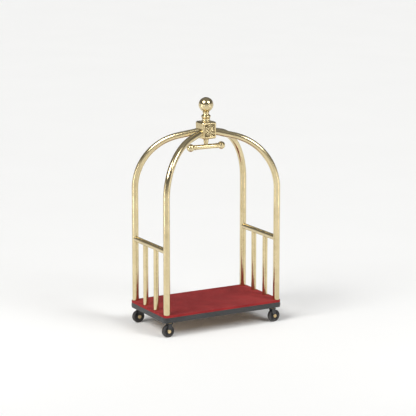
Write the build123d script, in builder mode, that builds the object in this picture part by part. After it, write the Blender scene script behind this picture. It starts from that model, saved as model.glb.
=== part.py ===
from build123d import *
import os
from math import acos, asin, atan2, cos, degrees, hypot, radians, sin, sqrt, tan

# Hotel luggage cart of the birdcage kind: a carpeted deck on four swivel casters, four
# bent tube uprights that meet in a hub block, end rails on balusters, a ball finial on
# top and a short hanger bar below the hub. Millimetres. +X runs along the cart's length,
# -Y is its front long side and +Z is up. The origin is on the floor under its centre.

os.makedirs("parts", exist_ok=True)

# ---- Casters ---------------------------------------------------------------
wheel_diameter = 102.0
wheel_width = 34.0
tyre_thickness = 11.0
tyre_shoulder = 7.0
rim_thickness = 4.0
rim_width = 29.0
web_width = 8.0
wheel_hub_radius = 13.0
wheel_hub_width = 36.0
wheel_top_gap = 8.0
axle_radius = 5.0
axle_cap_radius = 15.0
axle_cap_height = 6.0
axle_cap_round = 4.0
caster_trail = 14.0
caster_inboard_x = 30.0
caster_inboard_y = 12.0
fork_leg_thickness = 4.0
fork_leg_gap = 1.5
fork_boss_radius = 14.0
crown_length = 52.0
crown_thickness = 5.0
crown_corner = 7.0
race_height = 12.0
race_radius = 21.0
race_groove = 2.0
swivel_gap = 0.3
flange_radius = 28.0
flange_thickness = 5.0
kingpin_radius = 6.0
kingpin_nut_height = 5.7
stem_length = 26.0
running_clearance = 0.05

# ---- Deck ------------------------------------------------------------------
deck_length = 1100.0
deck_width = 620.0
block_height = 33.0
block_length = 130.0
block_width = 112.0
board_thickness = 18.0
carpet_thickness = 6.0
carpet_skirt = 12.0
carpet_setback = 2.0
carpet_roll = 3.0
carpet_hole_clearance = 0.5
bumper_height = 43.0
bumper_thickness = 8.0
bumper_rib_height = 23.0
bumper_rib_depth = 2.0
bumper_fillet = 0.9
band_thickness = 3.0
rail_tube = 25.0
rail_tube_wall = 2.0
cross_rail_spacing = 360.0

# ---- Fasteners -------------------------------------------------------------
bolt_radius = 5.0
bolt_head_flats = 17.0
bolt_head_height = 6.5
bolt_engagement = 30.0
counterbore_radius = 12.0
counterbore_depth = 10.0
hole_clearance = 0.5
thread_clearance = 0.05
deck_screw_radius = 2.5
deck_screw_length = 24.0
deck_screw_head_radius = 5.0
deck_screw_spacing = 200.0
deck_screws_per_rail = 4

# ---- Cage ------------------------------------------------------------------
upright_diameter = 54.0
upright_wall = 2.0
post_edge = 9.0
hub_height_over_deck = 1431.0
arch_rise = 489.0
arch_slope = 12.0
end_rail_diameter = 48.0
end_rail_wall = 2.0
end_rail_height = 523.0
baluster_diameter = 42.0
baluster_wall = 2.0
balusters_per_end = 2
plug_clearance = 0.1
upright_plug_height = 50.0
baluster_plug_height = 40.0

# ---- Hub -------------------------------------------------------------------
hub_height = 140.0
hub_chamfer = 11.0
tube_gap = 8.0
spigot_shank_radius = 12.0
spigot_engagement = 35.0
spigot_plug_length = 42.0
spigot_shoulder_gap = 4.0
hub_web = 5.0
hub_floor = 40.0
grub_radius = 4.0
grub_length = 16.0
grub_tip_gap = 1.2
grub_socket_flats = 4.0
grub_socket_depth = 6.0
rosette_margin = 6.0
rosette_plate = 3.0
rosette_relief = 2.0
rosette_rim = 5.0
rosette_petals = 8
rosette_boss_radius = 9.0

# ---- Finial and hanger -----------------------------------------------------
finial_ball_radius = 61.0
finial_ball_wall = 3.0
finial_ball_rise = 136.0
finial_boss_radius = 15.0
finial_boss_height = 34.0
neck_base_radius = 37.0
neck_base_height = 7.0
neck_seat = 4.0
neck_waist_radius = 33.0
neck_waist_height = 25.0
neck_bead_radius = 39.5
neck_bead_height = 54.0
neck_top_radius = 26.0
neck_cove_rise = 3.0
neck_cove_flare = 1.5
tie_rod_radius = 8.0
tie_rod_engagement = 22.0
hanger_drop = 141.0
hanger_bar_radius = 20.0
hanger_ball_radius = 32.5
hanger_ball_spread = 286.0
hanger_stem_top_radius = 26.0
hanger_stem_foot_radius = 16.0
hanger_collar_height = 9.0
hanger_collar_step = 3.0
hanger_stud_radius = 6.0
hanger_stud_length = 24.0

# ---- Heights, from the floor up --------------------------------------------
wheel_radius = wheel_diameter / 2
crown_bottom = wheel_diameter + wheel_top_gap
crown_top = crown_bottom + crown_thickness
flange_bottom = crown_top + race_height
mount_height = flange_bottom + flange_thickness
board_bottom = mount_height + block_height
board_top = board_bottom + board_thickness
deck_top = board_top + carpet_thickness
skirt_bottom = board_top - carpet_skirt
bumper_bottom = skirt_bottom - bumper_height
rail_bottom = board_bottom - rail_tube
hub_centre = deck_top + hub_height_over_deck
springline = hub_centre - arch_rise
hub_top = hub_centre + hub_height / 2
hub_bottom = hub_centre - hub_height / 2
ball_centre = hub_top + finial_ball_rise
hanger_centre = hub_centre - hanger_drop
end_rail_centre = deck_top + end_rail_height

# ---- Plan ------------------------------------------------------------------
upright_radius = upright_diameter / 2
upright_bore = upright_radius - upright_wall
baluster_radius = baluster_diameter / 2
baluster_bore = baluster_radius - baluster_wall
end_rail_radius = end_rail_diameter / 2
post_inset = upright_radius + post_edge
corner_radius = post_inset
board_inset = bumper_thickness
band_inset = bumper_thickness + band_thickness
post_x = deck_length / 2 - post_inset
post_y = deck_width / 2 - post_inset
baluster_pitch = 2 * post_y / (balusters_per_end + 1)
baluster_ys = [baluster_pitch * (n - (balusters_per_end - 1) / 2) for n in range(balusters_per_end)]

corners = {
    "front_left": (-1, -1),
    "front_right": (1, -1),
    "rear_left": (-1, 1),
    "rear_right": (1, 1),
}
ends = {"left": -1, "right": 1}
caster_trails = {"front_left": -1, "front_right": 1, "rear_left": -1, "rear_right": -1}

post_stations = [(sx * post_x, sy * post_y) for sx, sy in corners.values()]
baluster_stations = [(sx * post_x, y) for sx in ends.values() for y in baluster_ys]
screw_xs = [
    deck_screw_spacing * (n - (deck_screws_per_rail - 1) / 2) for n in range(deck_screws_per_rail)
]
screw_stations = [(x, sy * post_y) for x in screw_xs for sy in (-1, 1)]
caster_x = post_x - caster_inboard_x
caster_y = post_y - caster_inboard_y

# ---- Where the four arches meet the hub ------------------------------------
# Each arch lies in the upright plane from its post to the hub's axis. Its straight end
# falls away from the hub by the arch slope, and the hub is as long as it takes to keep
# the two tubes on one end face apart, and as wide as the outer sides of those tubes.
plan_reach = hypot(post_x, post_y)
plan_angle = atan2(post_y, post_x)
slope = radians(arch_slope)
bend_radius = (arch_rise - plan_reach * tan(slope)) / (cos(slope) - (1 - sin(slope)) * tan(slope))
hub_length = 2 * (upright_radius + tube_gap / 2 * cos(plan_angle)) / sin(plan_angle)
hub_width = 2 * (hub_length / 2 * tan(plan_angle) + upright_radius / cos(plan_angle))
axis_x = cos(plan_angle) * cos(slope)
hub_face_distance = hub_length / 2 / axis_x
shank_start = hub_face_distance - spigot_engagement
plug_start = (hub_length / 2 + upright_bore * sqrt(1 - axis_x**2)) / axis_x + spigot_shoulder_gap
shank_corner = shank_start * cos(slope) - spigot_shank_radius * sin(slope)
hub_well_radius = min(shank_corner - hub_web, neck_base_radius - neck_seat)
grub_distance = hub_face_distance - spigot_engagement / 2
rosette_radius = hub_length / 2 - hub_chamfer - rosette_margin
rosette_field = rosette_radius - rosette_rim


def save(piece, name):
    """Label a finished piece and write its STEP file."""
    piece.part.label = name
    export_step(piece.part, f"parts/{name}.step")


def outline(inset, mode=Mode.ADD):
    """Rounded deck outline, moved in from the bumper's outer face, in the open sketch."""
    RectangleRounded(deck_length - 2 * inset, deck_width - 2 * inset, corner_radius - inset, mode=mode)


def hoop(inner_inset, outer_inset, bottom):
    """Sketch of a closed hoop that follows the deck outline, at a height."""
    with BuildSketch(Plane.XY.offset(bottom)) as hoop_sketch:
        outline(outer_inset)
        outline(inner_inset, mode=Mode.SUBTRACT)
    return hoop_sketch.sketch


def facing_down(points, height):
    """Locations at a height whose drilling direction is upwards."""
    return Locations(*[Location((x, y, height), (180, 0, 0)) for x, y in points])


def tangent_point(start, centre, radius, side):
    """Where a line from start touches a circle, on one side of the line between them."""
    gap_x = start[0] - centre[0]
    gap_z = start[1] - centre[1]
    angle = atan2(gap_z, gap_x) + side * acos(radius / hypot(gap_x, gap_z))
    return (centre[0] + radius * cos(angle), centre[1] + radius * sin(angle))


def arch_axis(sx, sy):
    """Plane at the hub's centre whose normal runs out along one arch's straight end."""
    direction = (
        sx * cos(plan_angle) * cos(slope),
        sy * sin(plan_angle) * cos(slope),
        -sin(slope),
    )
    return Plane(origin=(0, 0, hub_centre), z_dir=direction)


# ---- Deck ------------------------------------------------------------------
with BuildPart() as deck_board:
    with BuildSketch(Plane.XY.offset(board_bottom)):
        outline(board_inset)
    extrude(amount=board_thickness)
    with Locations(*[(x, y, board_top) for x, y in post_stations + baluster_stations]):
        Hole(bolt_radius + hole_clearance)
    with Locations(*[(x, y, board_top) for x, y in screw_stations]):
        CounterSinkHole(deck_screw_radius + thread_clearance, deck_screw_head_radius + thread_clearance)
save(deck_board, "deck_board")

with BuildPart() as deck_carpet:
    with BuildSketch(Plane.XY.offset(skirt_bottom)):
        outline(carpet_setback)
    extrude(amount=deck_top - skirt_bottom)
    with BuildSketch(Plane.XY.offset(skirt_bottom)):
        outline(board_inset)
    extrude(amount=carpet_skirt, mode=Mode.SUBTRACT)
    fillet(deck_carpet.faces().sort_by(Axis.Z)[-1].outer_wire().edges(), carpet_roll)
    with Locations(*[(x, y, deck_top) for x, y in post_stations]):
        Hole(upright_radius + carpet_hole_clearance)
    with Locations(*[(x, y, deck_top) for x, y in baluster_stations]):
        Hole(baluster_radius + carpet_hole_clearance)
save(deck_carpet, "deck_carpet")

with BuildPart() as corner_blocks:
    with BuildSketch(Plane.XY.offset(mount_height)):
        with Locations(*[(sx * deck_length / 2, sy * deck_width / 2) for sx, sy in corners.values()]):
            Rectangle(2 * (block_length + band_inset), 2 * (block_width + band_inset))
        outline(band_inset, mode=Mode.INTERSECT)
    extrude(amount=block_height)
    with facing_down(post_stations, mount_height):
        CounterBoreHole(bolt_radius + hole_clearance, counterbore_radius, counterbore_depth)
    with facing_down([(sx * caster_x, sy * caster_y) for sx, sy in corners.values()], mount_height):
        Hole(kingpin_radius + thread_clearance, depth=stem_length + hole_clearance)
save(corner_blocks, "corner_blocks")

rail_tube_bore = rail_tube - 2 * rail_tube_wall
side_rail_length = 2 * (deck_length / 2 - band_inset - block_length)
end_rail_span = 2 * (deck_width / 2 - band_inset - block_width)
inner_rail_span = 2 * post_y - rail_tube

with BuildPart() as underframe_side_rails:
    with BuildSketch(Plane.YZ.offset(-side_rail_length / 2)):
        with Locations(*[(sy * post_y, rail_bottom + rail_tube / 2) for sy in (-1, 1)]):
            Rectangle(rail_tube, rail_tube)
            Rectangle(rail_tube_bore, rail_tube_bore, mode=Mode.SUBTRACT)
    extrude(amount=side_rail_length)
    with Locations(*[(x, y, board_bottom) for x, y in screw_stations]):
        Hole(deck_screw_radius + thread_clearance, depth=rail_tube / 2)
save(underframe_side_rails, "underframe_side_rails")

with BuildPart() as underframe_cross_rails:
    for xs, span in (
        ((-post_x, post_x), end_rail_span),
        ((-cross_rail_spacing / 2, cross_rail_spacing / 2), inner_rail_span),
    ):
        with BuildSketch(Plane.XZ.offset(-span / 2)):
            with Locations(*[(x, rail_bottom + rail_tube / 2) for x in xs]):
                Rectangle(rail_tube, rail_tube)
                Rectangle(rail_tube_bore, rail_tube_bore, mode=Mode.SUBTRACT)
        extrude(amount=span)
    with Locations(*[(x, y, board_bottom) for x, y in baluster_stations]):
        Hole(bolt_radius + hole_clearance)
save(underframe_cross_rails, "underframe_cross_rails")

with BuildPart() as edge_band:
    extrude(hoop(band_inset, board_inset, bumper_bottom), amount=board_bottom - bumper_bottom)
save(edge_band, "edge_band")

with BuildPart() as edge_bumper:
    extrude(hoop(board_inset, bumper_rib_depth, bumper_bottom), amount=bumper_height)
    rib_bottom = bumper_bottom + (bumper_height - bumper_rib_height) / 2
    extrude(hoop(board_inset, 0, rib_bottom), amount=bumper_rib_height)
    for face in edge_bumper.faces().filter_by(Axis.Z):
        fillet(face.outer_wire().edges(), bumper_fillet)
save(edge_bumper, "edge_bumper")

# ---- Uprights and what closes their feet -----------------------------------
with BuildPart() as hub_envelope:
    with Locations((0, 0, hub_centre)):
        Box(hub_length, hub_width, hub_height)
    chamfer(hub_envelope.edges(), hub_chamfer)


def make_upright(sx, sy):
    """One tube: straight up from the board, bent over, then straight to the hub."""
    foot = (sx * post_x, sy * post_y, board_top)
    inward = Vector(-foot[0], -foot[1], 0).normalized()
    rise = springline - board_top
    with BuildPart() as upright:
        with BuildLine(Plane(origin=foot, x_dir=inward, z_dir=inward.cross(Vector(0, 0, 1)))):
            post = Line((0, 0), (0, rise))
            bend = JernArc(start=post @ 1, tangent=post % 1, radius=bend_radius, arc_size=arch_slope - 90)
            Line(bend @ 1, (plan_reach, hub_centre - board_top))
        with BuildSketch(Plane(origin=foot)):
            Circle(upright_radius)
            Circle(upright_bore, mode=Mode.SUBTRACT)
        sweep()
        add(hub_envelope.part, mode=Mode.SUBTRACT)
    return upright


for corner, (sx, sy) in corners.items():
    save(make_upright(sx, sy), f"upright_{corner}")


def make_plugs(stations, radius, height):
    """Solid foot plugs, one inside each tube, with a tapped hole for its floor bolt."""
    with BuildPart() as plugs:
        with BuildSketch(Plane.XY.offset(board_top)):
            with Locations(*stations):
                Circle(radius - plug_clearance)
        extrude(amount=height)
        with facing_down(stations, board_top):
            Hole(bolt_radius + thread_clearance, depth=bolt_engagement + hole_clearance)
    return plugs


save(make_plugs(post_stations, upright_bore, upright_plug_height), "upright_plugs")
save(make_plugs(baluster_stations, baluster_bore, baluster_plug_height), "baluster_plugs")

with BuildPart() as floor_bolts:
    for stations, seat in (
        (post_stations, mount_height + counterbore_depth),
        (baluster_stations, rail_bottom),
    ):
        with BuildSketch(Plane.XY.offset(seat)):
            with Locations(*stations):
                Circle(bolt_radius)
        extrude(amount=board_top + bolt_engagement - seat)
        with BuildSketch(Plane.XY.offset(seat)):
            with Locations(*stations):
                RegularPolygon(bolt_head_flats / 2, 6, major_radius=False)
        extrude(amount=-bolt_head_height)
save(floor_bolts, "floor_bolts")

with BuildPart() as deck_screws:
    with BuildSketch(Plane.XY.offset(board_top)):
        with Locations(*screw_stations):
            Circle(deck_screw_radius)
    extrude(amount=-deck_screw_length)
    with Locations(*[(x, y, board_top) for x, y in screw_stations]):
        head_height = deck_screw_head_radius - deck_screw_radius
        Cone(deck_screw_radius, deck_screw_head_radius, head_height,
             align=(Align.CENTER, Align.CENTER, Align.MAX))
save(deck_screws, "deck_screws")


# ---- End rails and balusters -----------------------------------------------
def make_end_rail(sx):
    """Tube between the two posts of one end, its ends shaped to the posts."""
    with BuildPart() as end_rail:
        with BuildSketch(Plane(origin=(sx * post_x, -post_y, end_rail_centre), z_dir=(0, 1, 0))):
            Circle(end_rail_radius)
            Circle(end_rail_radius - end_rail_wall, mode=Mode.SUBTRACT)
        extrude(amount=2 * post_y)
        with Locations(*[(sx * post_x, sy * post_y, end_rail_centre) for sy in (-1, 1)]):
            Cylinder(upright_radius, 2 * end_rail_diameter, mode=Mode.SUBTRACT)
    return end_rail


def make_baluster(sx, y):
    """Short tube from the board to the end rail, its head shaped to the rail."""
    with BuildPart() as baluster:
        with BuildSketch(Plane((sx * post_x, y, board_top))):
            Circle(baluster_radius)
            Circle(baluster_bore, mode=Mode.SUBTRACT)
        extrude(amount=end_rail_centre - board_top)
        with Locations(Location((sx * post_x, y, end_rail_centre), (90, 0, 0))):
            Cylinder(end_rail_radius, 2 * baluster_diameter, mode=Mode.SUBTRACT)
    return baluster


for end, sx in ends.items():
    save(make_end_rail(sx), f"end_rail_{end}")
    for place, y in zip(("front", "rear"), baluster_ys):
        save(make_baluster(sx, y), f"baluster_{end}_{place}")

# ---- Hub -------------------------------------------------------------------
grub_top = hub_centre - grub_distance * sin(slope) - spigot_shank_radius / cos(slope) - grub_tip_gap
grub_stations = [(sx * grub_distance * cos(slope) * cos(plan_angle),
                  sy * grub_distance * cos(slope) * sin(plan_angle)) for sx, sy in corners.values()]

with BuildPart() as hub_block:
    add(hub_envelope.part)
    bore_start = shank_start - hole_clearance
    with Locations(*[arch_axis(sx, sy).offset(bore_start) for sx, sy in corners.values()]):
        Cylinder(spigot_shank_radius + thread_clearance, hub_length,
                 align=(Align.CENTER, Align.CENTER, Align.MIN), mode=Mode.SUBTRACT)
    with Locations((0, 0, hub_top)):
        Hole(hub_well_radius, depth=hub_height - hub_floor)
        Hole(tie_rod_radius + hole_clearance)
    with BuildSketch(Plane.XY.offset(hub_bottom)):
        with Locations(*grub_stations):
            Circle(grub_radius + thread_clearance)
    extrude(amount=hub_height / 2 - grub_distance * sin(slope), mode=Mode.SUBTRACT)
save(hub_block, "hub_block")

with BuildPart() as hub_grub_screws:
    with BuildSketch(Plane.XY.offset(grub_top)):
        with Locations(*grub_stations):
            Circle(grub_radius)
    extrude(amount=-grub_length)
    with BuildSketch(Plane.XY.offset(grub_top - grub_length)):
        with Locations(*grub_stations):
            RegularPolygon(grub_socket_flats / 2, 6, major_radius=False)
    extrude(amount=grub_socket_depth, mode=Mode.SUBTRACT)
save(hub_grub_screws, "hub_grub_screws")

with BuildPart() as hub_spigots:
    for sx, sy in corners.values():
        with BuildSketch(arch_axis(sx, sy).offset(shank_start)):
            Circle(spigot_shank_radius)
        extrude(amount=plug_start - shank_start)
        with BuildSketch(arch_axis(sx, sy).offset(plug_start)):
            Circle(upright_bore - plug_clearance)
        extrude(amount=spigot_plug_length)
save(hub_spigots, "hub_spigots")

with BuildPart() as hub_rosettes:
    with BuildSketch(Plane.XZ.offset(hub_width / 2)):
        with Locations((0, hub_centre)):
            Circle(rosette_radius)
    extrude(amount=rosette_plate)
    with BuildSketch(Plane.XZ.offset(hub_width / 2 + rosette_plate)):
        with Locations((0, hub_centre)):
            Circle(rosette_radius)
            Circle(rosette_field, mode=Mode.SUBTRACT)
            Circle(rosette_boss_radius)
            with PolarLocations((rosette_field + rosette_boss_radius) / 2, rosette_petals):
                Ellipse((rosette_field - rosette_boss_radius) / 2 - rosette_relief, rosette_rim)
    extrude(amount=rosette_relief)
    mirror(about=Plane.XZ)
save(hub_rosettes, "hub_rosettes")

# ---- Finial ----------------------------------------------------------------
with BuildPart() as finial_ball:
    with Locations((0, 0, ball_centre)):
        Sphere(finial_ball_radius)
        Sphere(finial_ball_radius - finial_ball_wall, mode=Mode.SUBTRACT)
    with BuildSketch(Plane.XY.offset(ball_centre - finial_ball_radius)):
        Circle(finial_boss_radius)
    extrude(amount=finial_boss_height)
    with Locations((0, 0, ball_centre)):
        Sphere(finial_ball_radius, mode=Mode.INTERSECT)
    with facing_down([(0, 0)], ball_centre - finial_ball_radius - hole_clearance):
        Hole(tie_rod_radius + thread_clearance, depth=tie_rod_engagement + 2 * hole_clearance)
save(finial_ball, "finial_ball")

with BuildPart() as finial_neck:
    with BuildSketch(Plane.XZ):
        with BuildLine():
            base = Polyline(
                (tie_rod_radius + hole_clearance, hub_top),
                (neck_base_radius, hub_top),
                (neck_base_radius, hub_top + neck_base_height),
            )
            cove = ThreePointArc(
                base @ 1,
                (neck_waist_radius + neck_cove_flare, hub_top + neck_base_height + neck_cove_rise),
                (neck_waist_radius, hub_top + neck_waist_height),
            )
            bead = ThreePointArc(
                cove @ 1,
                (neck_bead_radius, hub_top + (neck_waist_height + neck_bead_height) / 2),
                (neck_top_radius, hub_top + neck_bead_height),
            )
            Polyline(
                bead @ 1,
                (neck_top_radius, ball_centre),
                (tie_rod_radius + hole_clearance, ball_centre),
                base @ 0,
            )
        make_face()
    revolve(axis=Axis.Z)
    with Locations((0, 0, ball_centre)):
        Sphere(finial_ball_radius, mode=Mode.SUBTRACT)
save(finial_neck, "finial_neck")

with BuildPart() as tie_rod:
    rod_foot = hanger_centre + hanger_bar_radius - tie_rod_engagement
    with BuildSketch(Plane.XY.offset(rod_foot)):
        Circle(tie_rod_radius)
    extrude(amount=ball_centre - finial_ball_radius + tie_rod_engagement - rod_foot)
save(tie_rod, "tie_rod")

# ---- Hanger bar ------------------------------------------------------------
with BuildPart() as hanger_stem:
    with BuildSketch(Plane.XZ):
        with BuildLine():
            collar = Polyline(
                (tie_rod_radius + hole_clearance, hub_bottom),
                (hanger_stem_top_radius, hub_bottom),
                (hanger_stem_top_radius, hub_bottom - hanger_collar_height),
            )
            Polyline(
                collar @ 1,
                (hanger_stem_top_radius - hanger_collar_step, hub_bottom - hanger_collar_height),
                (hanger_stem_foot_radius, hanger_centre),
                (tie_rod_radius + hole_clearance, hanger_centre),
                collar @ 0,
            )
        make_face()
    revolve(axis=Axis.Z)
    with Locations(Location((0, 0, hanger_centre), (0, 90, 0))):
        Cylinder(hanger_bar_radius, hanger_ball_spread, mode=Mode.SUBTRACT)
save(hanger_stem, "hanger_stem")

hanger_ball_xs = {end: sx * hanger_ball_spread / 2 for end, sx in ends.items()}
ball_seat = sqrt(hanger_ball_radius**2 - hanger_bar_radius**2)

with BuildPart() as hanger_bar:
    stud_hole_radius = hanger_stud_radius + thread_clearance
    seat_angle = degrees(asin(hanger_bar_radius / hanger_ball_radius))
    mouth_angle = degrees(asin(stud_hole_radius / hanger_ball_radius))
    stud_hole_end = hanger_ball_spread / 2 - ball_seat - hanger_stud_length
    with BuildSketch(Plane(origin=(0, 0, hanger_centre), x_dir=(1, 0, 0), z_dir=(0, -1, 0))):
        with BuildLine():
            ball_xy = (hanger_ball_spread / 2, 0)
            cup = CenterArc(ball_xy, hanger_ball_radius, 180 - seat_angle, seat_angle - mouth_angle)
            Line((0, hanger_bar_radius), cup @ 0)
            Polyline(cup @ 1, (stud_hole_end, stud_hole_radius), (stud_hole_end, 0), (0, 0))
            mirror(about=Plane.YZ)
        make_face()
    revolve(axis=Axis((0, 0, hanger_centre), (1, 0, 0)))
    with Locations((0, 0, hanger_centre + hanger_bar_radius)):
        Hole(tie_rod_radius + thread_clearance, depth=tie_rod_engagement + hole_clearance)
save(hanger_bar, "hanger_bar")

for end, x in hanger_ball_xs.items():
    with BuildPart() as hanger_ball:
        with Locations((x, 0, hanger_centre)):
            Sphere(hanger_ball_radius)
        with BuildSketch(Plane(origin=(x, 0, hanger_centre), z_dir=(-ends[end], 0, 0))):
            Circle(hanger_stud_radius)
        extrude(amount=ball_seat + hanger_stud_length - hole_clearance)
    save(hanger_ball, f"hanger_ball_{end}")

# ---- Casters ---------------------------------------------------------------
leg_inner = wheel_hub_width / 2 + fork_leg_gap
leg_outer = leg_inner + fork_leg_thickness


def make_caster(corner, sx, sy, trail_side):
    """The pieces of one caster: stem, race, fork, axle, wheel core and tyre."""
    swivel_x = sx * caster_x
    swivel_y = sy * caster_y
    axle_x = swivel_x + trail_side * caster_trail

    with BuildPart() as caster_stem:
        for radius, bottom, top in (
            (kingpin_radius, crown_bottom - kingpin_nut_height, mount_height + stem_length),
            (flange_radius, flange_bottom, mount_height),
        ):
            with BuildSketch(Plane((swivel_x, swivel_y, bottom))):
                Circle(radius)
            extrude(amount=top - bottom)
    save(caster_stem, f"caster_stem_{corner}")

    with BuildPart() as caster_race:
        race_top = flange_bottom - swivel_gap
        groove_bottom = crown_top + (race_height - race_groove) / 2
        for radius, bottom, top in (
            (race_radius, crown_top, groove_bottom),
            (race_radius - race_groove, crown_top, race_top),
            (race_radius, groove_bottom + race_groove, race_top),
        ):
            with BuildSketch(Plane((swivel_x, swivel_y, bottom))):
                Circle(radius)
            extrude(amount=top - bottom)
        with Locations((swivel_x, swivel_y, flange_bottom)):
            Hole(kingpin_radius + race_groove)
    save(caster_race, f"caster_race_{corner}")

    boss = (axle_x, wheel_radius)
    shoulder_reach = crown_length / 2 - crown_corner
    shoulders = [(swivel_x + side * shoulder_reach, crown_top) for side in (-1, 1)]
    tangents = [tangent_point(shoulders[n], boss, fork_boss_radius, side) for n, side in enumerate((1, -1))]
    leg_outline = [shoulders[0], tangents[0], boss, tangents[1], shoulders[1]]
    with BuildPart() as caster_fork:
        with BuildSketch(Plane((swivel_x, swivel_y, crown_bottom))):
            RectangleRounded(crown_length, 2 * leg_outer, crown_corner)
        extrude(amount=crown_thickness)
        for side in (-1, 1):
            leg_rear = swivel_y + (leg_outer if side > 0 else -leg_inner)
            with BuildSketch(Plane(origin=(0, leg_rear, 0), x_dir=(1, 0, 0), z_dir=(0, -1, 0))):
                with Locations(boss):
                    Circle(fork_boss_radius)
                with BuildLine():
                    Polyline(*leg_outline, close=True)
                make_face()
            extrude(amount=fork_leg_thickness)
        with Locations((swivel_x, swivel_y, crown_top)):
            Hole(kingpin_radius + running_clearance, depth=crown_thickness + hole_clearance)
        with Locations(Location((axle_x, swivel_y, wheel_radius), (90, 0, 0))):
            Cylinder(axle_radius + thread_clearance, 4 * leg_outer, mode=Mode.SUBTRACT)
    save(caster_fork, f"caster_fork_{corner}")

    with BuildPart() as caster_axle:
        with BuildSketch(Plane(origin=(axle_x, swivel_y - leg_outer, wheel_radius), z_dir=(0, 1, 0))):
            Circle(axle_radius)
        extrude(amount=2 * leg_outer)
        for side in (-1, 1):
            cap_start = (axle_x, swivel_y + side * leg_outer, wheel_radius)
            with BuildSketch(Plane(origin=cap_start, z_dir=(0, side, 0))):
                Circle(axle_cap_radius)
            extrude(amount=axle_cap_height)
        outer_rims = [caster_axle.faces().sort_by(Axis.Y)[n].edges() for n in (0, -1)]
        fillet([edge for rim in outer_rims for edge in rim], axle_cap_round)
    save(caster_axle, f"caster_axle_{corner}")

    rim_radius = wheel_radius - tyre_thickness
    with BuildPart() as caster_wheel_core:
        for outer, inner, width in (
            (rim_radius, rim_radius - rim_thickness, rim_width),
            (rim_radius - rim_thickness / 2, 0, web_width),
            (wheel_hub_radius, 0, wheel_hub_width),
        ):
            with BuildSketch(Plane(origin=(axle_x, swivel_y - width / 2, wheel_radius), z_dir=(0, 1, 0))):
                Circle(outer)
                if inner:
                    Circle(inner, mode=Mode.SUBTRACT)
            extrude(amount=width)
        with Locations(Location((axle_x, swivel_y, wheel_radius), (90, 0, 0))):
            Cylinder(axle_radius + running_clearance, 2 * wheel_hub_width, mode=Mode.SUBTRACT)
    save(caster_wheel_core, f"caster_wheel_core_{corner}")

    with BuildPart() as caster_tyre:
        tyre_start = (axle_x, swivel_y - wheel_width / 2, wheel_radius)
        with BuildSketch(Plane(origin=tyre_start, z_dir=(0, 1, 0))):
            Circle(wheel_radius)
            Circle(rim_radius, mode=Mode.SUBTRACT)
        extrude(amount=wheel_width)
        tread_edges = caster_tyre.edges().filter_by(GeomType.CIRCLE).group_by(SortBy.RADIUS)[-1]
        fillet(tread_edges, tyre_shoulder)
    save(caster_tyre, f"caster_tyre_{corner}")


for corner, (sx, sy) in corners.items():
    make_caster(corner, sx, sy, caster_trails[corner])

with BuildPart() as kingpin_nuts:
    with BuildSketch(Plane.XY.offset(crown_bottom - swivel_gap)):
        with Locations(*[(sx * caster_x, sy * caster_y) for sx, sy in corners.values()]):
            RegularPolygon(bolt_head_flats / 2, 6, major_radius=False)
            Circle(kingpin_radius, mode=Mode.SUBTRACT)
    extrude(amount=-(kingpin_nut_height - swivel_gap))
save(kingpin_nuts, "kingpin_nuts")

print(f"bend radius {bend_radius:.1f}, hub {hub_length:.1f} x {hub_width:.1f} x {hub_height:.1f}")
print(f"deck top {deck_top:.1f}, hub centre {hub_centre:.1f}")
print(f"total height {ball_centre + finial_ball_radius:.1f}")
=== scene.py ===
"""The looks of a birdcage hotel luggage cart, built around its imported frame.

The brass cage, hub and casters keep their modelled shapes and get their finishes here.
The pieces that need more than a plain solid are modelled here and ride on their bodies:
the carpet's cut pile, the turned finial, the hanger, the hub's rosettes and the wheels.
"""

import logging
from contextlib import contextmanager
from dataclasses import dataclass, field
from enum import Enum
from math import asin, cos, degrees, hypot, pi, radians, sin, sqrt
from typing import Callable, Iterator, Sequence

import bpy
from mathutils import Matrix, Vector

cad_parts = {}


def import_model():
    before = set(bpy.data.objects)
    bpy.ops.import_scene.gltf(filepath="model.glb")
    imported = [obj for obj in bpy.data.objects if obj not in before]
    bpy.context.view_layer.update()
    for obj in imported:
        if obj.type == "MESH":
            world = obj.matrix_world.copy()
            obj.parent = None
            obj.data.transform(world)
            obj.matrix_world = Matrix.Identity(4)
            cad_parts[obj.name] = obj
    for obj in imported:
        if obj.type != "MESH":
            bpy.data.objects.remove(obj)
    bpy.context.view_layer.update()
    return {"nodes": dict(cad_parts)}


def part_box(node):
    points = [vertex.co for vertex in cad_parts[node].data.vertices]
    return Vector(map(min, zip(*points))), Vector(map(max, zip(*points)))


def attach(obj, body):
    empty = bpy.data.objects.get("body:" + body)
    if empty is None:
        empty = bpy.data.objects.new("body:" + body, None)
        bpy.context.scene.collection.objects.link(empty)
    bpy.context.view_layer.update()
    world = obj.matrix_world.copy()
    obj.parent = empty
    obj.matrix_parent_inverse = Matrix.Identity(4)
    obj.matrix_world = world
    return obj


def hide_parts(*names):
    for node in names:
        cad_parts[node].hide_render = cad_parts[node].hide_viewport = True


log = logging.getLogger("luggage_cart")

MERGE_DISTANCE = 0.00002
ON_AXIS = 1e-6
FACING = 0.9
FACE_GAP = 0.0003
MIX_INPUTS = (0, 6, 7)
MIX_OUTPUT = 2
CORNERS = ("front_left", "front_right", "rear_left", "rear_right")
ENDS = ("left", "right")

Colour = tuple[float, float, float]
Point = tuple[float, float]
Piece = bpy.types.Object
Tree = bpy.types.NodeTree
Material = bpy.types.Material
Socket = bpy.types.NodeSocket
FaceTest = Callable[[Vector, Vector], bool]


class Turning(Enum):
    """Which way a turned piece's own axis points once it is finished."""

    UP = "up"
    ALONG_X = "along_x"
    ALONG_Y = "along_y"


TURNS = {
    Turning.UP: Matrix.Identity(4),
    Turning.ALONG_X: Matrix.Rotation(pi / 2, 4, "Y"),
    Turning.ALONG_Y: Matrix.Rotation(-pi / 2, 4, "X"),
}


# ---- Bench: the few hand operations that every piece goes through ----------


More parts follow.
